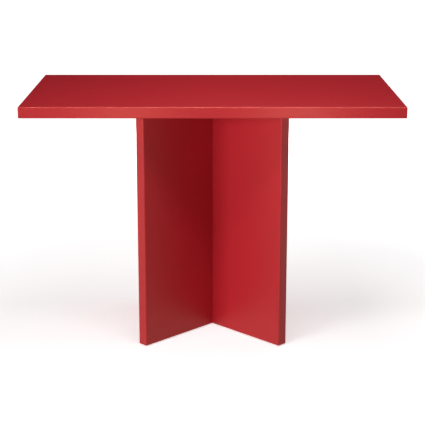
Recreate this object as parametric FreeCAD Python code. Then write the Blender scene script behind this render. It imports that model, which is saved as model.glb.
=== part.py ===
"""Dining table: a thick lacquered top on a base of two panels that cross at right angles.

Lengths are in millimetres and angles in degrees. The origin lies on the floor under the middle
of the top, +Z is up, X runs along the width of the top and -Y is the front. Each small piece is
drawn on the Z axis at its own height and then set out along an arm of the base, or between arms.
"""
import FreeCAD
import Part
import math
import os

# Whole table
TOP_WIDTH = 1100.0
TOP_DEPTH = 600.0
TABLE_HEIGHT = 750.0
BASE_TURN = 45.0               # from the front edge of the top to the first panel

# Lacquered boards
TOP_THICKNESS = 33.0
PANEL_THICKNESS = 33.0
PANEL_LENGTH = 600.0
ARRIS_RADIUS = 3.0             # rounding of every outer edge
LAP_CLEARANCE = 0.3            # between a slot's wall and the panel that it takes
LAP_END_GAP = 0.6              # between the ends of the two slots

# Mounting plate, let into the underside of the top
PLATE_SIDE = 260.0
PLATE_THICKNESS = 5.0
PLATE_CORNER_RADIUS = 10.0
POCKET_CLEARANCE = 0.5         # around the plate
POCKET_HEADROOM = 0.3          # above the plate

# Screws and threaded inserts that the top and the panels share
SCREW_DIAMETER = 6.0
SCREW_HOLE_CLEARANCE = 0.3     # around a screw in the plate
THREAD_CLEARANCE = 0.05        # around a screw in its insert
SCREW_KEY_FLATS = 4.0          # across the hexagon socket
SCREW_KEY_DEPTH = 2.0
INSERT_DIAMETER = 10.0
INSERT_LENGTH = 15.0
INSERT_CLEARANCE = 0.05        # around an insert or bush in its hole
INSERT_RESERVE = 2.0           # hole depth past the insert and the screw

# Countersunk screws from the plate into the panels
PLATE_SCREW_LENGTH = 20.0
PLATE_SCREW_HEAD_DIAMETER = 12.0
PLATE_SCREW_CORNER_INSET = 34.0   # from the plate's corner to the outer screw
PLATE_SCREW_SPACING = 80.0        # from the outer to the inner screw
COUNTERSINK_CLEARANCE = 0.15

# Button-head screws from below into the top
TOP_SCREW_LENGTH = 20.0
TOP_SCREW_HEAD_DIAMETER = 10.5
TOP_SCREW_HEAD_HEIGHT = 3.3
TOP_SCREW_HEAD_ROUNDING = 2.0
TOP_SCREW_EDGE_INSET = 25.0       # from the plate's edge
TOP_SCREW_SPACING = 70.0          # between the two screws at one edge of the plate
WASHER_DIAMETER = 12.5
WASHER_THICKNESS = 1.6

# Dowels between the panels and the top
DOWEL_DIAMETER = 8.0
DOWEL_LENGTH = 30.0
DOWEL_INSET = 50.0             # from the end of the panel
DOWEL_CLEARANCE = 0.1          # around the dowel
DOWEL_END_GAP = 1.0            # at each end of the dowel
DOWEL_CHAMFER = 1.0

# Levelling feet in the lower edges of the panels
LEVELLER_INSET = 45.0          # from the end of the panel
PANEL_RAISE = 2.0              # from the floor to the panels, with the feet screwed right in
STEM_DIAMETER = 8.0
STEM_LENGTH = 42.0             # threaded part
STEM_CLEARANCE = 0.08          # around the stem in its bush
STEM_BORE_CLEARANCE = 0.5      # around the stem in the panel, above the bush
STEM_HEADROOM = 2.0            # above the stem
STEM_CHAMFER = 0.8
SHOULDER_DIAMETER = 13.0       # the stem's collar, which stops against the bush
SHOULDER_HEIGHT = 2.0
STOP_GAP = 0.1                 # between the collar and the bush
NECK_DIAMETER = 7.0
STEM_FOOT_DIAMETER = 11.0
STEM_FOOT_HEIGHT = 2.5
STEM_KEY_FLATS = 4.0
STEM_KEY_DEPTH = 3.0
BUSH_DIAMETER = 12.0
BUSH_LENGTH = 20.0
BUSH_FLANGE_DIAMETER = 18.0
BUSH_FLANGE_THICKNESS = 1.5
PAD_DIAMETER = 20.0
PAD_FLOOR = 1.6                # under the stem's foot
PAD_LIP = 1.5                  # over the stem's foot
PAD_CLEARANCE = 0.2            # around the stem's foot and neck
PAD_CHAMFER = 0.8
PAD_KEY_HOLE_DIAMETER = 5.0
RECESS_CLEARANCE = 1.0         # around the pad in the panel

# Heights that follow from the sizes above
TOP_UNDERSIDE = TABLE_HEIGHT - TOP_THICKNESS
PANEL_MIDDLE = (PANEL_RAISE + TOP_UNDERSIDE) / 2
PLATE_UPPER_FACE = TOP_UNDERSIDE + PLATE_THICKNESS
POCKET_ROOF = PLATE_UPPER_FACE + POCKET_HEADROOM
STEM_FOOT_LOW = PAD_FLOOR + PAD_CLEARANCE
STEM_FOOT_HIGH = STEM_FOOT_LOW + STEM_FOOT_HEIGHT
PAD_CAVITY_ROOF = STEM_FOOT_HIGH + PAD_CLEARANCE
PAD_HEIGHT = PAD_CAVITY_ROOF + PAD_LIP
SHOULDER_LOW = PAD_HEIGHT + PAD_CLEARANCE
SHOULDER_HIGH = SHOULDER_LOW + SHOULDER_HEIGHT
STEM_TOP = SHOULDER_HIGH + STEM_LENGTH
FLANGE_LOW = SHOULDER_HIGH + STOP_GAP
RECESS_ROOF = FLANGE_LOW + BUSH_FLANGE_THICKNESS
BUSH_TOP = RECESS_ROOF + BUSH_LENGTH

# Where things stand along the arms and between them
ARM_LENGTH = PANEL_LENGTH / 2
ARM_BEARINGS = [BASE_TURN + 90 * arm for arm in range(4)]
GAP_BEARINGS = [bearing + 45 for bearing in ARM_BEARINGS]
CORNERS = dict(zip(("back_right", "back_left", "front_left", "front_right"), ARM_BEARINGS))
PLATE_SCREW_OUT = PLATE_SIDE / math.sqrt(2) - PLATE_SCREW_CORNER_INSET
PLATE_SCREW_IN = PLATE_SCREW_OUT - PLATE_SCREW_SPACING
TOP_SCREW_OUT = PLATE_SIDE / 2 - TOP_SCREW_EDGE_INSET
DOWEL_OUT = ARM_LENGTH - DOWEL_INSET
LEVELLER_OUT = ARM_LENGTH - LEVELLER_INSET

# Holes
SCREW_HOLE_DIAMETER = SCREW_DIAMETER + 2 * SCREW_HOLE_CLEARANCE
SCREW_THREAD_DIAMETER = SCREW_DIAMETER + 2 * THREAD_CLEARANCE
INSERT_HOLE_DIAMETER = INSERT_DIAMETER + 2 * INSERT_CLEARANCE
OVERCUT = 1.0                  # how far a cutter passes a face that it opens
SAME_HEIGHT = 1e-6             # heights closer than this count as one

UP = FreeCAD.Vector(0, 0, 1)
ORIGIN = FreeCAD.Vector(0, 0, 0)


def block(width, depth, low, high):
    """A box centred on the Z axis."""
    return Part.makeBox(width, depth, high - low, FreeCAD.Vector(-width / 2, -depth / 2, low))


def rod(diameter, low, high):
    """A cylinder on the Z axis."""
    return Part.makeCylinder(diameter / 2, high - low, FreeCAD.Vector(0, 0, low))


def hexagon(flats, low, high):
    """A hexagonal bar on the Z axis, given its size across flats."""
    corner = flats / math.sqrt(3)
    turns = [math.radians(60 * side) for side in range(7)]
    points = [FreeCAD.Vector(corner * math.cos(t), corner * math.sin(t), low) for t in turns]
    return Part.Face(Part.makePolygon(points)).extrude(FreeCAD.Vector(0, 0, high - low))


def level_edges(shape, *heights):
    """The edges of a shape that lie wholly at one of some heights."""
    return [edge for edge in shape.Edges for height in heights
            if all(abs(vertex.Z - height) < SAME_HEIGHT for vertex in edge.Vertexes)]


def upright_edges(shape):
    """The edges of a shape whose ends differ in height."""
    return [edge for edge in shape.Edges
            if abs(edge.Vertexes[0].Z - edge.Vertexes[-1].Z) > SAME_HEIGHT]


def placed(shape, distance, bearing, sideways=0.0):
    """A copy of a shape, set out from the Z axis along a bearing."""
    copy = shape.copy()
    copy.translate(FreeCAD.Vector(distance, sideways, 0))
    copy.rotate(ORIGIN, UP, bearing)
    return copy


def at_plate_screws(shape, bearings):
    """Copies of a shape at the two plate screws of each arm."""
    return [placed(shape, distance, bearing)
            for bearing in bearings for distance in (PLATE_SCREW_IN, PLATE_SCREW_OUT)]


def at_top_screws(shape):
    """Copies of a shape at the two top screws of each gap between arms."""
    return [placed(shape, TOP_SCREW_OUT, bearing, side * TOP_SCREW_SPACING / 2)
            for bearing in GAP_BEARINGS for side in (-1, 1)]


def at_arms(shape, distance, bearings):
    """Copies of a shape, one on each arm, at one distance from the middle."""
    return [placed(shape, distance, bearing) for bearing in bearings]


def rounded_board(width, depth, low, high):
    """A board with every edge rounded, as lacquered boards are."""
    board = block(width, depth, low, high)
    return board.makeFillet(ARRIS_RADIUS, board.Edges)


def plate_outline(side, corner_radius, low, high):
    """The plate's rounded square, with its sides facing the gaps between the arms."""
    square = block(side, side, low, high)
    return placed(square.makeFillet(corner_radius, upright_edges(square)), 0, GAP_BEARINGS[0])


def table_top():
    """The slab, with a pocket for the plate and holes for its inserts and the dowels."""
    pocket = plate_outline(
        PLATE_SIDE + 2 * POCKET_CLEARANCE,
        PLATE_CORNER_RADIUS + POCKET_CLEARANCE,
        TOP_UNDERSIDE - OVERCUT,
        POCKET_ROOF,
    )
    screw_reach = TOP_UNDERSIDE - WASHER_THICKNESS + TOP_SCREW_LENGTH
    hole_end = max(POCKET_ROOF + INSERT_LENGTH, screw_reach) + INSERT_RESERVE
    insert_hole = rod(INSERT_HOLE_DIAMETER, POCKET_ROOF - OVERCUT, hole_end)
    slab = rounded_board(TOP_WIDTH, TOP_DEPTH, TOP_UNDERSIDE, TABLE_HEIGHT)
    cuts = [pocket] + at_top_screws(insert_hole) + at_arms(dowel_hole(), DOWEL_OUT, ARM_BEARINGS)
    return slab.cut(cuts)


def dowel_hole():
    """The hole for a dowel, half in the panel and half in the top."""
    half = DOWEL_LENGTH / 2 + DOWEL_END_GAP
    return rod(DOWEL_DIAMETER + 2 * DOWEL_CLEARANCE, TOP_UNDERSIDE - half, TOP_UNDERSIDE + half)


def leveller_bore():
    """The recess for a pad, the hole for its bush and the room above for its stem."""
    recess = rod(PAD_DIAMETER + 2 * RECESS_CLEARANCE, PANEL_RAISE - OVERCUT, RECESS_ROOF)
    bush_hole = rod(BUSH_DIAMETER + 2 * INSERT_CLEARANCE, RECESS_ROOF - OVERCUT, BUSH_TOP)
    stem_bore = STEM_DIAMETER + 2 * STEM_BORE_CLEARANCE
    stem_room = rod(stem_bore, BUSH_TOP - OVERCUT, STEM_TOP + STEM_HEADROOM)
    return recess.fuse([bush_hole, stem_room])


def base_panel(bearings, slot_low, slot_high):
    """One panel of the base, over two opposite arms, with its half of the halving joint."""
    board = rounded_board(PANEL_LENGTH, PANEL_THICKNESS, PANEL_RAISE, TOP_UNDERSIDE)
    slot_width = PANEL_THICKNESS + 2 * LAP_CLEARANCE
    slot = block(slot_width, PANEL_THICKNESS + 2 * OVERCUT, slot_low, slot_high)
    panel = placed(board.cut(slot), 0, bearings[0])
    insert_depth = max(INSERT_LENGTH, PLATE_SCREW_LENGTH - PLATE_THICKNESS) + INSERT_RESERVE
    insert_hole = rod(INSERT_HOLE_DIAMETER, TOP_UNDERSIDE - insert_depth, TOP_UNDERSIDE + OVERCUT)
    cuts = at_plate_screws(insert_hole, bearings)
    cuts += at_arms(dowel_hole(), DOWEL_OUT, bearings)
    cuts += at_arms(leveller_bore(), LEVELLER_OUT, bearings)
    return panel.cut(cuts)


def mounting_plate():
    """The steel plate, countersunk over the panels and drilled for the top's screws."""
    plate = plate_outline(PLATE_SIDE, PLATE_CORNER_RADIUS, TOP_UNDERSIDE, PLATE_UPPER_FACE)
    hole = rod(SCREW_HOLE_DIAMETER, TOP_UNDERSIDE - OVERCUT, PLATE_UPPER_FACE + OVERCUT)
    mouth = PLATE_SCREW_HEAD_DIAMETER / 2 + COUNTERSINK_CLEARANCE
    depth = mouth - SCREW_HOLE_DIAMETER / 2
    sink_low = FreeCAD.Vector(0, 0, PLATE_UPPER_FACE - depth)
    sink = Part.makeCone(SCREW_HOLE_DIAMETER / 2, mouth, depth, sink_low)
    screw_hole = hole.fuse(sink)
    return plate.cut(at_plate_screws(screw_hole, ARM_BEARINGS) + at_top_screws(hole))


def insert(low, high):
    """A threaded insert, drawn as a plain sleeve."""
    return rod(INSERT_DIAMETER, low, high).cut(rod(SCREW_THREAD_DIAMETER, low - OVERCUT, high + OVERCUT))


def plate_screw():
    """A countersunk screw whose head is flush with the plate."""
    head_radius = PLATE_SCREW_HEAD_DIAMETER / 2
    head_height = head_radius - SCREW_DIAMETER / 2
    head_low = PLATE_UPPER_FACE - head_height
    head = Part.makeCone(SCREW_DIAMETER / 2, head_radius, head_height, FreeCAD.Vector(0, 0, head_low))
    shank = rod(SCREW_DIAMETER, PLATE_UPPER_FACE - PLATE_SCREW_LENGTH, head_low)
    socket = hexagon(SCREW_KEY_FLATS, PLATE_UPPER_FACE - SCREW_KEY_DEPTH, PLATE_UPPER_FACE + OVERCUT)
    return head.fuse(shank).removeSplitter().cut(socket)


def top_screw():
    """A button-head screw that points up, with its head under the washer."""
    head_high = TOP_UNDERSIDE - WASHER_THICKNESS
    head_low = head_high - TOP_SCREW_HEAD_HEIGHT
    head = rod(TOP_SCREW_HEAD_DIAMETER, head_low, head_high)
    head = head.makeFillet(TOP_SCREW_HEAD_ROUNDING, level_edges(head, head_low))
    shank = rod(SCREW_DIAMETER, head_high, head_high + TOP_SCREW_LENGTH)
    socket = hexagon(SCREW_KEY_FLATS, head_low - OVERCUT, head_low + SCREW_KEY_DEPTH)
    return head.fuse(shank).cut(socket)


def washer():
    """A plain washer between a top screw's head and the plate."""
    low = TOP_UNDERSIDE - WASHER_THICKNESS
    ring = rod(WASHER_DIAMETER, low, TOP_UNDERSIDE)
    return ring.cut(rod(SCREW_HOLE_DIAMETER, low - OVERCUT, TOP_UNDERSIDE + OVERCUT))


def dowel():
    """A beech dowel with chamfered ends."""
    low = TOP_UNDERSIDE - DOWEL_LENGTH / 2
    high = TOP_UNDERSIDE + DOWEL_LENGTH / 2
    pin = rod(DOWEL_DIAMETER, low, high)
    return pin.makeChamfer(DOWEL_CHAMFER, level_edges(pin, low, high))


def leveller_bush():
    """A flanged bush whose thread carries a stem, drawn with a plain bore."""
    flange = rod(BUSH_FLANGE_DIAMETER, FLANGE_LOW, RECESS_ROOF)
    sleeve = rod(BUSH_DIAMETER, RECESS_ROOF, BUSH_TOP)
    bore = rod(STEM_DIAMETER + 2 * STEM_CLEARANCE, FLANGE_LOW - OVERCUT, BUSH_TOP + OVERCUT)
    return flange.fuse(sleeve).cut(bore)


def leveller_stem():
    """A stem with its collar, neck and foot, turned by a key from below."""
    thread = rod(STEM_DIAMETER, SHOULDER_HIGH, STEM_TOP)
    thread = thread.makeChamfer(STEM_CHAMFER, level_edges(thread, STEM_TOP))
    collar = rod(SHOULDER_DIAMETER, SHOULDER_LOW, SHOULDER_HIGH)
    neck = rod(NECK_DIAMETER, STEM_FOOT_HIGH, SHOULDER_LOW)
    foot = rod(STEM_FOOT_DIAMETER, STEM_FOOT_LOW, STEM_FOOT_HIGH)
    socket = hexagon(STEM_KEY_FLATS, STEM_FOOT_LOW - OVERCUT, STEM_FOOT_LOW + STEM_KEY_DEPTH)
    return thread.fuse([collar, neck, foot]).cut(socket)


def glide_pad():
    """A moulded pad that snaps over a stem's foot, with a hole in its floor for the key."""
    body = rod(PAD_DIAMETER, 0, PAD_HEIGHT)
    body = body.makeChamfer(PAD_CHAMFER, level_edges(body, 0, PAD_HEIGHT))
    cavity = rod(STEM_FOOT_DIAMETER + 2 * PAD_CLEARANCE, PAD_FLOOR, PAD_CAVITY_ROOF)
    throat = rod(NECK_DIAMETER + 2 * PAD_CLEARANCE, PAD_CAVITY_ROOF - OVERCUT, PAD_HEIGHT + OVERCUT)
    key_hole = rod(PAD_KEY_HOLE_DIAMETER, -OVERCUT, PAD_FLOOR + OVERCUT)
    return body.cut([cavity, throat, key_hole])


def build():
    """Every piece of the table, by the name of its node."""
    panel_insert = insert(TOP_UNDERSIDE - INSERT_LENGTH, TOP_UNDERSIDE)
    top_insert = insert(POCKET_ROOF, POCKET_ROOF + INSERT_LENGTH)
    slot_up_floor = PANEL_MIDDLE - LAP_END_GAP / 2
    slot_down_roof = PANEL_MIDDLE + LAP_END_GAP / 2
    pieces = {
        "table_top": table_top(),
        "base_panel_slot_up": base_panel(ARM_BEARINGS[0::2], slot_up_floor, TOP_UNDERSIDE + OVERCUT),
        "base_panel_slot_down": base_panel(ARM_BEARINGS[1::2], PANEL_RAISE - OVERCUT, slot_down_roof),
        "mounting_plate": mounting_plate(),
        "panel_inserts": Part.makeCompound(at_plate_screws(panel_insert, ARM_BEARINGS)),
        "plate_screws": Part.makeCompound(at_plate_screws(plate_screw(), ARM_BEARINGS)),
        "top_inserts": Part.makeCompound(at_top_screws(top_insert)),
        "top_screws": Part.makeCompound(at_top_screws(top_screw())),
        "top_screw_washers": Part.makeCompound(at_top_screws(washer())),
        "locating_dowels": Part.makeCompound(at_arms(dowel(), DOWEL_OUT, ARM_BEARINGS)),
        "leveller_bushes": Part.makeCompound(at_arms(leveller_bush(), LEVELLER_OUT, ARM_BEARINGS)),
    }
    for corner, bearing in CORNERS.items():
        pieces[f"leveller_stem_{corner}"] = placed(leveller_stem(), LEVELLER_OUT, bearing)
        pieces[f"glide_pad_{corner}"] = placed(glide_pad(), LEVELLER_OUT, bearing)
    return pieces


os.makedirs("parts", exist_ok=True)
for node, shape in build().items():
    shape.exportStep(f"parts/{node}.step")
    state = "valid" if shape.isValid() else "INVALID"
    print(node, len(shape.Solids), "solids", round(shape.Volume), "mm3", state)
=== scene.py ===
"""Looks of a dining table: a red lacquered top on a base of two panels that cross in an X.

Everything is in metres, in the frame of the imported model: the origin lies on the floor under the
middle of the top, +Z is up, +X runs along the width of the top and -Y is the front.
"""

import logging
import math
from dataclasses import dataclass
from enum import Enum

import bpy
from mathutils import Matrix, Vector


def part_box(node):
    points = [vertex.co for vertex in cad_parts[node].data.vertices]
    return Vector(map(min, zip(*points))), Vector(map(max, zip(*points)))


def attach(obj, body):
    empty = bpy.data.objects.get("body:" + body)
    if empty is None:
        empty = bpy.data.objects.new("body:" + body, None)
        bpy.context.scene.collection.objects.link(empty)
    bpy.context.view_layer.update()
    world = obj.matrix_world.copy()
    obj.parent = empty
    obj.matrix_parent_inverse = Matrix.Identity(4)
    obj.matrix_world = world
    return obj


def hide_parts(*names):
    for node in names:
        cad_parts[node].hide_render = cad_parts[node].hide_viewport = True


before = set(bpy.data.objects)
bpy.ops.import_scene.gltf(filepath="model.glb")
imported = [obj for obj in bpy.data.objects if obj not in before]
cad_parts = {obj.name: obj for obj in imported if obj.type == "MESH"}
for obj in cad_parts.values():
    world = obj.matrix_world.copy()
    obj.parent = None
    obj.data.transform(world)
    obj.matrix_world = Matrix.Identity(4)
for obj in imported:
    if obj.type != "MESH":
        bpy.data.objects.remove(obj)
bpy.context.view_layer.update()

MM = 0.001
ROOT_BODY = "table"
SMOOTH_ANGLE = math.radians(35)
LOG = logging.getLogger("table")

# The Mix node's sockets by number, because those for values and for colours share their names.
MIX_SHARE = 0
MIX_VALUES = (2, 3)
MIX_VALUE_OUT = 0
MIX_COLOURS = (6, 7)
MIX_COLOUR_OUT = 2

Socket = bpy.types.NodeSocket
Tree = bpy.types.NodeTree
Piece = bpy.types.Object
Place = tuple[float, float, float]


def linear(colour: str) -> tuple[float, float, float, float]:
    """Turns an sRGB hex colour into linear light.

    Args:
        colour: Six hex digits after a hash, as in "#B81D2A".

    Returns:
        Red, green, blue and a full alpha.
    """
    shares = [int(colour[at:at + 2], 16) / 255 for at in (1, 3, 5)]
    light = [s / 12.92 if s <= 0.04045 else ((s + 0.055) / 1.055) ** 2.4 for s in shares]
    return (light[0], light[1], light[2], 1.0)


def add_node(tree: Tree, kind: str, links: dict | None = None, **settings: object) -> bpy.types.Node:
    """Adds one node to a tree.

    Args:
        tree: The tree that gets the node.
        kind: The node's type, such as "ShaderNodeBump".
        links: What feeds its inputs, by name or number: another node's output, or a plain value.
        settings: Attributes of the node itself, such as operation="MULTIPLY".

    Returns:
        The new node.
    """
    node = tree.nodes.new(kind)
    for name, value in settings.items():
        setattr(node, name, value)
    for name, source in (links or {}).items():
        if isinstance(source, Socket):
            tree.links.new(source, node.inputs[name])
        else:
            node.inputs[name].default_value = source
    return node


@dataclass(frozen=True)
class Finish:
    """What every finish has: a name, a colour, a gloss and an index of refraction."""

    name: str
    colour: str
    roughness: float
    ior: float = 1.5
    metallic: float = 0.0

    def make(self) -> bpy.types.Material:
        """Makes the material: a principled shader, and then the finish's own pattern.

        Returns:
            The material, ready for a piece's slot.
        """
        material = bpy.data.materials.new(self.name)
        material.use_nodes = True
        tree = material.node_tree
        tree.nodes.clear()
        shader = add_node(tree, "ShaderNodeBsdfPrincipled", {
            "Base Color": linear(self.colour),
            "Roughness": self.roughness,
            "Metallic": self.metallic,
            "IOR": self.ior,
        })
        add_node(tree, "ShaderNodeOutputMaterial", {"Surface": shader.outputs["BSDF"]})
        place = add_node(tree, "ShaderNodeTexCoord").outputs["Object"]
        self.pattern(tree, shader, place)
        return material

    def pattern(self, tree: Tree, shader: bpy.types.Node, place: Socket) -> None:
        """Draws the finish's own pattern into the shader's sockets."""
        raise NotImplementedError

    def varied(self, tree: Tree, place: Socket, size: float, low: float, high: float) -> Socket:
        """A soft cloud of values over the surface.

        The noise keeps near its middle, so that its usual range is stretched from low to high.

        Args:
            tree: The material's tree.
            place: Object coordinates.
            size: Width of a cloud in metres.
            low: The lowest value.
            high: The highest value.

        Returns:
            The cloud's value.
        """
        noise = add_node(tree, "ShaderNodeTexNoise", {"Vector": place, "Scale": 1 / size, "Detail": 3.0})
        spread = add_node(tree, "ShaderNodeMapRange", {
            "Value": noise.outputs["Fac"], "From Min": 0.3, "From Max": 0.7, "To Min": low, "To Max": high,
        })
        return spread.outputs["Result"]


@dataclass(frozen=True)
class SprayedLacquer(Finish):
    """Satin polyurethane lacquer, sprayed on fibreboard and left as it flowed out.

    A closed, even film: deep saturated colour from the pigment, and over it a soft reflection,
    which a painted warm tint colours as if the light it mirrors were warm, the matting agent
    weakens and the faint ripple of the spray, the orange peel, breaks up.
    """

    peel_width: float = 5 * MM
    peel_depth: float = 0.004 * MM
    cloud_width: float = 160 * MM
    gloss_change: float = 0.02
    shade: str = "#A81925"
    shade_share: float = 0.15
    # Painted light: a warm tint on every reflection, as if the light it mirrors were warm.
    painted_gloss_tint: str = "#FFFBD2"

    def pattern(self, tree: Tree, shader: bpy.types.Node, place: Socket) -> None:
        """Adds the orange peel, the film's slight changes of gloss and of depth of colour, and the painted
        warm tint of its reflection.

        Args:
            tree: The material's tree.
            shader: The principled shader.
            place: Object coordinates.
        """
        ripple = add_node(tree, "ShaderNodeTexNoise", {
            "Vector": place, "Scale": 1 / self.peel_width, "Detail": 1.0, "Roughness": 0.4,
        })
        bump = add_node(tree, "ShaderNodeBump", {
            "Height": ripple.outputs["Fac"], "Distance": self.peel_depth, "Strength": 1.0,
        })
        tree.links.new(bump.outputs["Normal"], shader.inputs["Normal"])
        gloss = self.varied(
            tree, place, self.cloud_width,
            self.roughness - self.gloss_change, self.roughness + self.gloss_change,
        )
        tree.links.new(gloss, shader.inputs["Roughness"])
        # Painted light: the reflection's warm tint, as if the light it mirrors were warm.
        shader.inputs["Specular Tint"].default_value = linear(self.painted_gloss_tint)
        depth = self.varied(tree, place, 2 * self.cloud_width, 0.0, self.shade_share)
        colour = add_node(tree, "ShaderNodeMix", {
            MIX_SHARE: depth,
            MIX_COLOURS[0]: linear(self.colour),
            MIX_COLOURS[1]: linear(self.shade),
        }, data_type="RGBA")
        tree.links.new(colour.outputs[MIX_COLOUR_OUT], shader.inputs["Base Color"])


@dataclass(frozen=True)
class PowderCoat(Finish):
    """Black polyester powder coat, baked on steel.

    The powder melts into a closed skin with a fine, even pebble that scatters its gloss.
    """

    pebble: float = 1.2 * MM
    pebble_depth: float = 0.05 * MM

    def pattern(self, tree: Tree, shader: bpy.types.Node, place: Socket) -> None:
        """Adds the pebble, which is really about 0.3 mm wide and is drawn coarser so that it shows.

        Args:
            tree: The material's tree.
            shader: The principled shader.
            place: Object coordinates.
        """
        grain = add_node(tree, "ShaderNodeTexNoise", {
            "Vector": place, "Scale": 1 / self.pebble, "Detail": 2.0,
        })
        bump = add_node(tree, "ShaderNodeBump", {
            "Height": grain.outputs["Fac"], "Distance": self.pebble_depth, "Strength": 0.8,
        })
        tree.links.new(bump.outputs["Normal"], shader.inputs["Normal"])


@dataclass(frozen=True)
class ZincPlate(Finish):
    """Steel hardware, barrel plated with bright zinc and passivated clear.

    A thin cool metal skin: clear but not sharp reflections, a little duller in patches where the
    pieces rubbed together in the barrel.
    """

    patch: float = 3 * MM
    brighter: float = 0.06
    duller: float = 0.10

    def pattern(self, tree: Tree, shader: bpy.types.Node, place: Socket) -> None:
        """Adds the dull patches."""
        low, high = self.roughness - self.brighter, self.roughness + self.duller
        tree.links.new(self.varied(tree, place, self.patch, low, high), shader.inputs["Roughness"])


@dataclass(frozen=True)
class TurnedBeech(Finish):
    """Plain beech, turned to a dowel along its grain.

    A pale, slightly pink wood with short darker flecks that run along the grain.
    """

    fleck: str = "#B98A5E"
    fleck_width: float = 0.8 * MM
    fleck_length: float = 6 * MM

    def pattern(self, tree: Tree, shader: bpy.types.Node, place: Socket) -> None:
        """Adds the flecks, stretched along the dowel.

        Args:
            tree: The material's tree.
            shader: The principled shader.
            place: Object coordinates.
        """
        stretched = add_node(tree, "ShaderNodeMapping", {
            "Vector": place, "Scale": (1 / self.fleck_width, 1 / self.fleck_width, 1 / self.fleck_length),
        })
        grain = add_node(tree, "ShaderNodeTexNoise", {
            "Vector": stretched.outputs["Vector"], "Scale": 1.0, "Detail": 4.0,
        })
        share = add_node(tree, "ShaderNodeMapRange", {
            "Value": grain.outputs["Fac"], "From Min": 0.45, "From Max": 0.75,
        })
        colour = add_node(tree, "ShaderNodeMix", {
            MIX_SHARE: share.outputs["Result"],
            MIX_COLOURS[0]: linear(self.colour),
            MIX_COLOURS[1]: linear(self.fleck),
        }, data_type="RGBA")
        tree.links.new(colour.outputs[MIX_COLOUR_OUT], shader.inputs["Base Color"])


@dataclass(frozen=True)
class MouldedNylon(Finish):
    """Black nylon, injection moulded in a spark-eroded mould.

    A waxy, matt skin with an even fine grain.
    """

    grain: float = 0.6 * MM
    grain_depth: float = 0.02 * MM

    def pattern(self, tree: Tree, shader: bpy.types.Node, place: Socket) -> None:
        """Adds the mould's grain, really about 0.1 mm wide and drawn coarser so that it shows.

        Args:
            tree: The material's tree.
            shader: The principled shader.
            place: Object coordinates.
        """
        pits = add_node(tree, "ShaderNodeTexNoise", {
            "Vector": place, "Scale": 1 / self.grain, "Detail": 1.0,
        })
        bump = add_node(tree, "ShaderNodeBump", {
            "Height": pits.outputs["Fac"], "Distance": self.grain_depth, "Strength": 0.7,
        })
        tree.links.new(bump.outputs["Normal"], shader.inputs["Normal"])


class Dress(Enum):
    """The table's finishes, by the record's material slot."""

    RED_LACQUER = SprayedLacquer("red_sprayed_lacquer", "#B81D2A", roughness=0.42, ior=1.4)
    BLACK_PLATE = PowderCoat("black_powder_coat", "#151517", roughness=0.5)
    ZINC_STEEL = ZincPlate("bright_zinc_plate", "#C6C9CC", roughness=0.26, metallic=1.0)
    BEECH = TurnedBeech("turned_beech", "#D8B38A", roughness=0.55)
    BLACK_NYLON = MouldedNylon("moulded_black_nylon", "#161618", roughness=0.45, ior=1.53)

    @property
    def slot(self) -> str:
        """The record's name for this finish."""
        return self.name.lower()


class Wardrobe:
    """Makes each finish once and puts it on pieces."""

    def __init__(self) -> None:
        """Starts with every finish made."""
        self.made = {finish: finish.value.make() for finish in Dress}

    def put_on(self, piece: Piece, finish: Dress) -> None:
        """Gives a piece one finish all over.

        Args:
            piece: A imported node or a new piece.
            finish: What it gets.
        """
        piece.data.materials.clear()
        piece.data.materials.append(self.made[finish])
        LOG.info("%s: %s", piece.name, finish.value.name)

    def put_on_nodes(self, finish: Dress, *names: str) -> None:
        """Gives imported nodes, whose own shape is right, one finish."""
        for name in names:
            self.put_on(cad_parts[name], finish)


class Merge(Enum):
    """How two closed shapes are made one."""

    UNION = "UNION"
    DIFFERENCE = "DIFFERENCE"
    INTERSECT = "INTERSECT"


class Corner(Enum):
    """The table's four corners, each with one arm of the base and one levelling foot."""

    FRONT_LEFT = "front_left"
    FRONT_RIGHT = "front_right"
    BACK_LEFT = "back_left"
    BACK_RIGHT = "back_right"


def pick(piece: Piece) -> None:
    """Selects one piece alone, and makes it the active one.

    Args:
        piece: The piece that the next operators work on.
    """
    bpy.ops.object.select_all(action="DESELECT")
    piece.select_set(True)
    bpy.context.view_layer.objects.active = piece


def merge(piece: Piece, other: Piece, how: Merge) -> None:
    """Works another shape into a piece, and removes that shape.

    Args:
        piece: The piece that changes.
        other: The shape that is added, cut away or kept to.
        how: Which of the three.
    """
    pick(piece)
    step = piece.modifiers.new("merge", "BOOLEAN")
    step.operation = how.value
    step.solver = "EXACT"
    step.object = other
    bpy.ops.object.modifier_apply(modifier=step.name)
    bpy.data.objects.remove(other)


def turned(name: str, profile: list[tuple[float, float]], sides: int = 48) -> Piece:
    """Turns a solid round the upright axis, by pulling a disc up from step to step.

    Args:
        name: The solid's name.
        profile: Radius and height of each step, from the bottom up.
        sides: How many sides stand for the round.

    Returns:
        The closed solid.
    """
    radius, height = profile[0]
    bpy.ops.object.select_all(action="DESELECT")
    bpy.ops.mesh.primitive_circle_add(
        vertices=sides, radius=radius, fill_type="NGON", location=(0, 0, height),
    )
    piece = bpy.context.object
    piece.name = name
    bpy.ops.object.transform_apply()
    bpy.ops.object.mode_set(mode="EDIT")
    bpy.ops.mesh.select_all(action="SELECT")
    for next_radius, next_height in profile[1:]:
        bpy.ops.mesh.extrude_region_move(
            TRANSFORM_OT_translate={"value": (0, 0, next_height - height)},
        )
        share = next_radius / radius
        bpy.ops.transform.resize(value=(share, share, 1), center_override=(0, 0, next_height))
        radius, height = next_radius, next_height
    bpy.ops.mesh.select_all(action="SELECT")
    bpy.ops.mesh.normals_make_consistent(inside=False)
    bpy.ops.object.mode_set(mode="OBJECT")
    return piece


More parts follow.
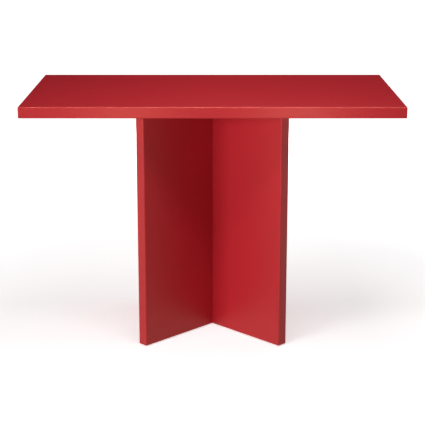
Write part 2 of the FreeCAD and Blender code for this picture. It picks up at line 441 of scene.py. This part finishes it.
def copied(piece: Piece, name: str, place: Place) -> Piece:
    """Copies a piece from the origin to a place, with a mesh of its own.

    Args:
        piece: What is copied.
        name: The copy's name.
        place: Where the piece's origin goes.

    Returns:
        The copy, with its place in its mesh.
    """
    pick(piece)
    bpy.ops.object.duplicate()
    copy = bpy.context.object
    copy.name = name
    copy.data.name = name
    copy.location = place
    bpy.ops.object.transform_apply()
    return copy


@dataclass(frozen=True)
class Thread:
    """A metric screw thread: a ridge with 60 degrees between its flanks, which winds up a round core."""

    crest_radius: float
    pitch: float
    low: float
    high: float
    steps: int = 32
    flank: float = math.radians(30)
    depth_share: float = 0.57
    buried_share: float = 0.15
    crest_share: float = 0.125
    spare_share: float = 0.1
    cone_sides: int = 64

    @property
    def root_radius(self) -> float:
        """The core's radius between the turns."""
        return self.crest_radius - self.depth_share * self.pitch

    def cut_on(self, core: Piece) -> None:
        """Winds the ridge round a core and makes the two one solid.

        Args:
            core: A solid on the upright axis, as thick as the thread's root.
        """
        ridge = self.wound()
        self.trim(ridge)
        merge(core, ridge, Merge.UNION)

    def wound(self) -> Piece:
        """Runs the ridge's trapezoid up the helix, past both ends of the thread.

        Returns:
            The closed ridge, with its foot buried in the core.
        """
        foot_radius = self.root_radius - self.buried_share * self.pitch
        height = self.crest_radius - foot_radius
        crest = self.crest_share * self.pitch
        foot = crest + 2 * height * math.tan(self.flank)
        middle = (foot_radius + self.crest_radius) / 2
        bpy.ops.object.select_all(action="DESELECT")
        bpy.ops.mesh.primitive_plane_add(
            size=1, location=(middle, 0, self.low), rotation=(math.radians(90), 0, 0),
        )
        ridge = bpy.context.object
        ridge.name = "thread_ridge"
        ridge.scale = (height, foot, 1)
        bpy.ops.object.transform_apply()
        bpy.ops.object.mode_set(mode="EDIT")
        bpy.ops.mesh.select_all(action="DESELECT")
        bpy.ops.object.mode_set(mode="OBJECT")
        for corner in ridge.data.vertices:
            corner.select = corner.co.x > middle
        bpy.ops.object.mode_set(mode="EDIT")
        bpy.ops.transform.resize(value=(1, 1, crest / foot), center_override=(middle, 0, self.low))
        bpy.ops.mesh.select_all(action="SELECT")
        bpy.ops.mesh.delete(type="ONLY_FACE")
        bpy.ops.object.mode_set(mode="OBJECT")
        helix = ridge.modifiers.new("helix", "SCREW")
        helix.axis = "Z"
        helix.angle = math.radians(360)
        helix.screw_offset = self.pitch
        helix.iterations = math.ceil((self.high - self.low) / self.pitch)
        helix.steps = self.steps
        helix.render_steps = self.steps
        bpy.ops.object.modifier_apply(modifier=helix.name)
        bpy.ops.object.mode_set(mode="EDIT")
        bpy.ops.mesh.select_all(action="SELECT")
        bpy.ops.mesh.fill_holes(sides=4)
        bpy.ops.mesh.select_all(action="SELECT")
        bpy.ops.mesh.normals_make_consistent(inside=False)
        bpy.ops.object.mode_set(mode="OBJECT")
        return ridge

    def trim(self, ridge: Piece) -> None:
        """Runs the ridge out on a cone at each end, as a die and a chamfer leave it.

        Args:
            ridge: The ridge, which is cut.
        """
        outside = self.crest_radius + self.spare_share * self.pitch
        rise = outside - self.root_radius
        cones = turned("thread_cones", [
            (self.root_radius, self.low),
            (outside, self.low + rise),
            (outside, self.high - rise),
            (self.root_radius, self.high),
        ], sides=self.cone_sides)
        merge(ridge, cones, Merge.INTERSECT)


def hexagon_socket(piece: Piece, flats: float, mouth: float, depth: float) -> None:
    """Cuts a hexagon socket up into the underside of a piece.

    Args:
        piece: A solid on the upright axis.
        flats: The socket's width across flats.
        mouth: Height of the face that the socket opens in.
        depth: How deep the socket is.
    """
    bpy.ops.object.select_all(action="DESELECT")
    bpy.ops.mesh.primitive_cylinder_add(
        vertices=6, radius=flats / math.sqrt(3), depth=2 * depth, location=(0, 0, mouth),
    )
    merge(piece, bpy.context.object, Merge.DIFFERENCE)


@dataclass(frozen=True)
class TableTop:
    """The lacquered slab."""

    node: str = "table_top"

    def dress(self, wardrobe: Wardrobe) -> None:
        """Lacquers the slab."""
        wardrobe.put_on_nodes(Dress.RED_LACQUER, self.node)


@dataclass(frozen=True)
class CrossBase:
    """The two panels, halved into each other, and the dowels that locate the top on them."""

    panels: tuple[str, str] = ("base_panel_slot_up", "base_panel_slot_down")
    dowels: str = "locating_dowels"

    def dress(self, wardrobe: Wardrobe) -> None:
        """Lacquers the panels and leaves the dowels bare."""
        wardrobe.put_on_nodes(Dress.RED_LACQUER, *self.panels)
        wardrobe.put_on_nodes(Dress.BEECH, self.dowels)


@dataclass
class TopFixing:
    """The plate under the top, and the screws that tie it to the panels and to the top."""

    head_low: float = 712.1 * MM
    head_height: float = 3.3 * MM
    head_radius: float = 5.2 * MM
    head_flat: float = 2.9 * MM
    head_rim: float = 0.4 * MM
    dome_steps: int = 7
    key_flats: float = 4 * MM
    key_depth: float = 2 * MM
    shank_radius: float = 2.97 * MM
    shank_length: float = 20 * MM
    pitch: float = 1 * MM
    neck: float = 1 * MM
    point: float = 0.2 * MM
    out: float = 105 * MM
    aside: float = 35 * MM

    def build(self) -> None:
        """Models one button-head screw and sets eight of them, two at each side of the plate."""
        screw = self.screw()
        copies = []
        for out, aside in self.places():
            copies.append(copied(screw, "button_head_screw", (out, aside, self.head_low)))
        bpy.data.objects.remove(screw)
        pick(copies[0])
        for copy in copies[1:]:
            copy.select_set(True)
        bpy.ops.object.join()
        self.screws = bpy.context.object
        self.screws.name = "button_head_screws"
        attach(self.screws, ROOT_BODY)
        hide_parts("top_screws")

    def places(self) -> list[tuple[float, float]]:
        """Where the screws stand, across and along."""
        pairs = [(side * self.out, way * self.aside) for side in (-1, 1) for way in (-1, 1)]
        return pairs + [(aside, out) for out, aside in pairs]

    def screw(self) -> Piece:
        """Models one screw on the upright axis, with the flat of its head at the origin.

        Returns:
            The screw, with its domed head, socket and thread.
        """
        tip = self.head_height + self.shank_length
        thread = Thread(self.shank_radius, self.pitch, self.head_height + self.neck, tip - self.point)
        dome_height = self.head_height - self.head_rim
        profile = []
        for step in range(self.dome_steps):
            turn = math.radians(90) * step / (self.dome_steps - 1)
            radius = self.head_flat + (self.head_radius - self.head_flat) * math.sin(turn)
            profile.append((radius, dome_height * (1 - math.cos(turn))))
        profile += [
            (self.head_radius, self.head_height),
            (thread.root_radius, self.head_height),
            (thread.root_radius, tip),
        ]
        screw = turned("button_head_screw_model", profile)
        hexagon_socket(screw, self.key_flats, 0.0, self.key_depth)
        thread.cut_on(screw)
        bpy.ops.object.shade_smooth_by_angle(angle=SMOOTH_ANGLE)
        return screw

    def dress(self, wardrobe: Wardrobe) -> None:
        """Powder-coats the plate and plates the steel hardware.

        Args:
            wardrobe: The finishes.
        """
        wardrobe.put_on_nodes(Dress.BLACK_PLATE, "mounting_plate")
        wardrobe.put_on_nodes(
            Dress.ZINC_STEEL, "panel_inserts", "plate_screws", "top_inserts", "top_screw_washers",
        )
        wardrobe.put_on(self.screws, Dress.ZINC_STEEL)


@dataclass
class LevellingFeet:
    """A bush in each arm's lower edge, a threaded stem in it and a pad that turns on the stem's foot."""

    foot_low: float = 1.8 * MM
    foot_high: float = 4.3 * MM
    foot_radius: float = 5.5 * MM
    neck_radius: float = 3.5 * MM
    collar_low: float = 6.2 * MM
    collar_high: float = 8.2 * MM
    collar_radius: float = 6.5 * MM
    edge_break: float = 0.3 * MM
    stem_radius: float = 3.97 * MM
    stem_top: float = 50.2 * MM
    pitch: float = 1.25 * MM
    relief: float = 0.8 * MM
    point: float = 0.2 * MM
    key_flats: float = 4 * MM
    key_depth: float = 3 * MM

    def build(self) -> None:
        """Models one stem and sets a copy in each arm."""
        model = self.stem()
        self.stems = []
        for corner in Corner:
            node = f"leveller_stem_{corner.value}"
            low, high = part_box(node)
            place = ((low.x + high.x) / 2, (low.y + high.y) / 2, 0)
            stem = copied(model, f"threaded_stem_{corner.value}", place)
            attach(stem, f"stem_{corner.value}")
            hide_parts(node)
            self.stems.append(stem)
        bpy.data.objects.remove(model)

    def stem(self) -> Piece:
        """Models one stem on the upright axis.

        Returns:
            The stem, with its foot, neck, collar, socket and thread.
        """
        thread_low = self.collar_high + self.relief
        thread = Thread(self.stem_radius, self.pitch, thread_low, self.stem_top - self.point)
        stem = turned("threaded_stem_model", [
            (self.foot_radius - self.edge_break, self.foot_low),
            (self.foot_radius, self.foot_low + self.edge_break),
            (self.foot_radius, self.foot_high - self.edge_break),
            (self.foot_radius - self.edge_break, self.foot_high),
            (self.neck_radius, self.foot_high),
            (self.neck_radius, self.collar_low),
            (self.collar_radius - self.edge_break, self.collar_low),
            (self.collar_radius, self.collar_low + self.edge_break),
            (self.collar_radius, self.collar_high - self.edge_break),
            (self.collar_radius - self.edge_break, self.collar_high),
            (thread.root_radius, self.collar_high),
            (thread.root_radius, self.stem_top),
        ])
        hexagon_socket(stem, self.key_flats, self.foot_low, self.key_depth)
        thread.cut_on(stem)
        bpy.ops.object.shade_smooth_by_angle(angle=SMOOTH_ANGLE)
        return stem

    def dress(self, wardrobe: Wardrobe) -> None:
        """Plates the bushes and stems, and leaves the pads as they were moulded.

        Args:
            wardrobe: The finishes.
        """
        wardrobe.put_on_nodes(Dress.ZINC_STEEL, "leveller_bushes")
        for stem in self.stems:
            wardrobe.put_on(stem, Dress.ZINC_STEEL)
        wardrobe.put_on_nodes(Dress.BLACK_NYLON, *(f"glide_pad_{corner.value}" for corner in Corner))


@dataclass(frozen=True)
class Softbox:
    """A rectangular studio light, which a honeycomb grid can keep to a narrower spread.

    One that does not shade is seen in the gloss alone, as a strip that draws an edge.
    """

    name: str
    place: Place
    aim: Place
    width: float
    height: float
    power: float
    spread: float = 180.0
    shades: bool = True

    def build(self) -> None:
        """Hangs the light and points it."""
        bpy.ops.object.light_add(type="AREA", location=self.place)
        lamp = bpy.context.object
        lamp.name = self.name
        lamp.data.shape = "RECTANGLE"
        lamp.data.size = self.width
        lamp.data.size_y = self.height
        lamp.data.energy = self.power
        lamp.data.spread = math.radians(self.spread)
        toward = Vector(self.aim) - Vector(self.place)
        lamp.rotation_euler = toward.to_track_quat("-Z", "Y").to_euler()
        lamp.visible_camera = False
        lamp.visible_diffuse = self.shades


@dataclass(frozen=True)
class Studio:
    """The pale floor, the surroundings and the lights.

    The floor's own glow, which the eye and the gloss see, rises from the near radius to the far one.
    """

    lights: tuple[Softbox, ...]
    floor_radius: float = 16.0
    floor_sides: int = 128
    floor_colour: str = "#F2F2F2"
    near_glow: float = 0.55
    near_radius: float = 1.0
    far_glow: float = 1.0
    far_radius: float = 2.6
    ambient: float = 0.14
    ceiling: float = 0.012
    horizon: float = 0.1
    horizon_rise: float = 7.5

    def build(self) -> None:
        """Builds the floor, the surroundings and the lights."""
        self.floor()
        self.surroundings()
        for light in self.lights:
            light.build()

    def floor(self) -> None:
        """Lays the floor, which keeps the shadow and turns to plain white away from the table."""
        bpy.ops.object.select_all(action="DESELECT")
        bpy.ops.mesh.primitive_circle_add(
            vertices=self.floor_sides, radius=self.floor_radius, fill_type="NGON",
        )
        floor = bpy.context.object
        floor.name = "studio_floor"
        material = bpy.data.materials.new("studio_floor_paint")
        material.use_nodes = True
        tree = material.node_tree
        tree.nodes.clear()
        place = add_node(tree, "ShaderNodeTexCoord").outputs["Object"]
        away = add_node(tree, "ShaderNodeVectorMath", {0: place}, operation="LENGTH")
        glow = add_node(tree, "ShaderNodeMapRange", {
            "Value": away.outputs["Value"],
            "From Min": self.near_radius,
            "From Max": self.far_radius,
            "To Min": self.near_glow,
            "To Max": self.far_glow,
        })
        rays = add_node(tree, "ShaderNodeLightPath").outputs
        straight = add_node(tree, "ShaderNodeMath", {
            0: rays["Is Camera Ray"], 1: rays["Is Transmission Ray"],
        }, operation="MAXIMUM")
        shown = add_node(tree, "ShaderNodeMath", {
            0: straight.outputs["Value"], 1: rays["Is Glossy Ray"],
        }, operation="MAXIMUM")
        strength = add_node(tree, "ShaderNodeMath", {
            0: glow.outputs["Result"], 1: shown.outputs["Value"],
        }, operation="MULTIPLY")
        paint = add_node(tree, "ShaderNodeBsdfDiffuse", {"Color": linear(self.floor_colour)})
        shine = add_node(tree, "ShaderNodeEmission", {"Strength": strength.outputs["Value"]})
        both = add_node(tree, "ShaderNodeAddShader", {
            0: paint.outputs["BSDF"], 1: shine.outputs["Emission"],
        })
        add_node(tree, "ShaderNodeOutputMaterial", {"Surface": both.outputs["Shader"]})
        floor.data.materials.append(material)

    def surroundings(self) -> None:
        """Paints the room: white behind the table, and in its gloss pale at floor level and dim above."""
        world = bpy.data.worlds.new("studio")
        bpy.context.scene.world = world
        world.use_nodes = True
        tree = world.node_tree
        tree.nodes.clear()
        way = add_node(tree, "ShaderNodeTexCoord").outputs["Generated"]
        rise = add_node(tree, "ShaderNodeSeparateXYZ", {"Vector": way})
        band = add_node(tree, "ShaderNodeMapRange", {
            "Value": rise.outputs["Z"],
            "From Min": 0.0,
            "From Max": math.sin(math.radians(self.horizon_rise)),
            "To Min": self.horizon,
            "To Max": self.ceiling,
        })
        rays = add_node(tree, "ShaderNodeLightPath").outputs
        straight = add_node(tree, "ShaderNodeMath", {
            0: rays["Is Camera Ray"], 1: rays["Is Transmission Ray"],
        }, operation="MAXIMUM")
        room = add_node(tree, "ShaderNodeMix", {
            MIX_SHARE: rays["Is Glossy Ray"],
            MIX_VALUES[0]: self.ambient,
            MIX_VALUES[1]: band.outputs["Result"],
        }, data_type="FLOAT")
        strength = add_node(tree, "ShaderNodeMath", {
            0: straight.outputs["Value"], 1: room.outputs[MIX_VALUE_OUT],
        }, operation="MAXIMUM")
        back = add_node(tree, "ShaderNodeBackground", {
            "Color": linear("#FFFFFF"), "Strength": strength.outputs["Value"],
        })
        add_node(tree, "ShaderNodeOutputWorld", {"Surface": back.outputs["Background"]})


@dataclass(frozen=True)
class PhotoCamera:
    """The camera at the photograph's place, on the table's middle plane."""

    distance: float = 3.721
    height: float = 1.367
    tilt: float = 15.12
    lens: float = 104.2
    reach: float = 100.0

    def build(self) -> None:
        """Sets the camera up, looking back along +Y and down by its tilt."""
        turn = (math.radians(90 - self.tilt), 0, 0)
        bpy.ops.object.camera_add(location=(0, -self.distance, self.height), rotation=turn)
        camera = bpy.context.object
        camera.name = "photo_camera"
        camera.data.lens = self.lens
        camera.data.clip_end = self.reach
        bpy.context.scene.camera = camera


# Places, aims and sizes are in metres, power in watts and spread in degrees.
LIGHTS = (
    Softbox("key_softbox", (-4.4, -4.3, 1.2), aim=(0, 0, 0.4), width=3.0, height=1.6, power=215),
    Softbox("overhead_softbox", (0.15, 0.0, 2.0), aim=(0.1, 0, 0.75), width=1.6, height=1.0, power=11.9),
    Softbox("front_softbox", (0.0, -0.85, 1.75), aim=(0, -0.3, 0.7), width=1.3, height=0.25, power=7.7),
    Softbox(
        "arris_strip", (0.0, -0.85, 1.75), aim=(0, -0.55, 0.74), width=2.2, height=0.25, power=8.0,
        spread=40, shades=False,
    ),
    Softbox(
        "left_edge_lamp", (-0.30, -1.1, 0.60), aim=(-0.24, -0.3, 0.73), width=0.15, height=0.25,
        power=0.053, spread=40,
    ),
    Softbox(
        "right_edge_lamp", (0.30, -1.1, 0.60), aim=(0.24, -0.3, 0.73), width=0.15, height=0.25,
        power=0.074, spread=40,
    ),
    Softbox("rear_softbox", (0.0, 3.2, 0.42), aim=(0, 0, 0.42), width=2.4, height=0.6, power=20),
    Softbox("right_rear_softbox", (2.9, 2.3, 0.7), aim=(0, 0, 0.42), width=2.0, height=1.0, power=26),
    Softbox("left_rear_softbox", (-3.0, 2.2, 0.7), aim=(0, 0, 0.42), width=2.0, height=1.0, power=7),
)


def main() -> None:
    """Models and dresses the table, and sets up the studio."""
    logging.basicConfig(level=logging.INFO, format="%(message)s")
    bpy.context.scene.view_settings.view_transform = "Standard"
    wardrobe = Wardrobe()
    fixing = TopFixing()
    fixing.build()
    feet = LevellingFeet()
    feet.build()
    for assembly in (TableTop(), CrossBase(), fixing, feet):
        assembly.dress(wardrobe)
    Studio(LIGHTS).build()
    PhotoCamera().build()


if __name__ == "__main__":
    main()
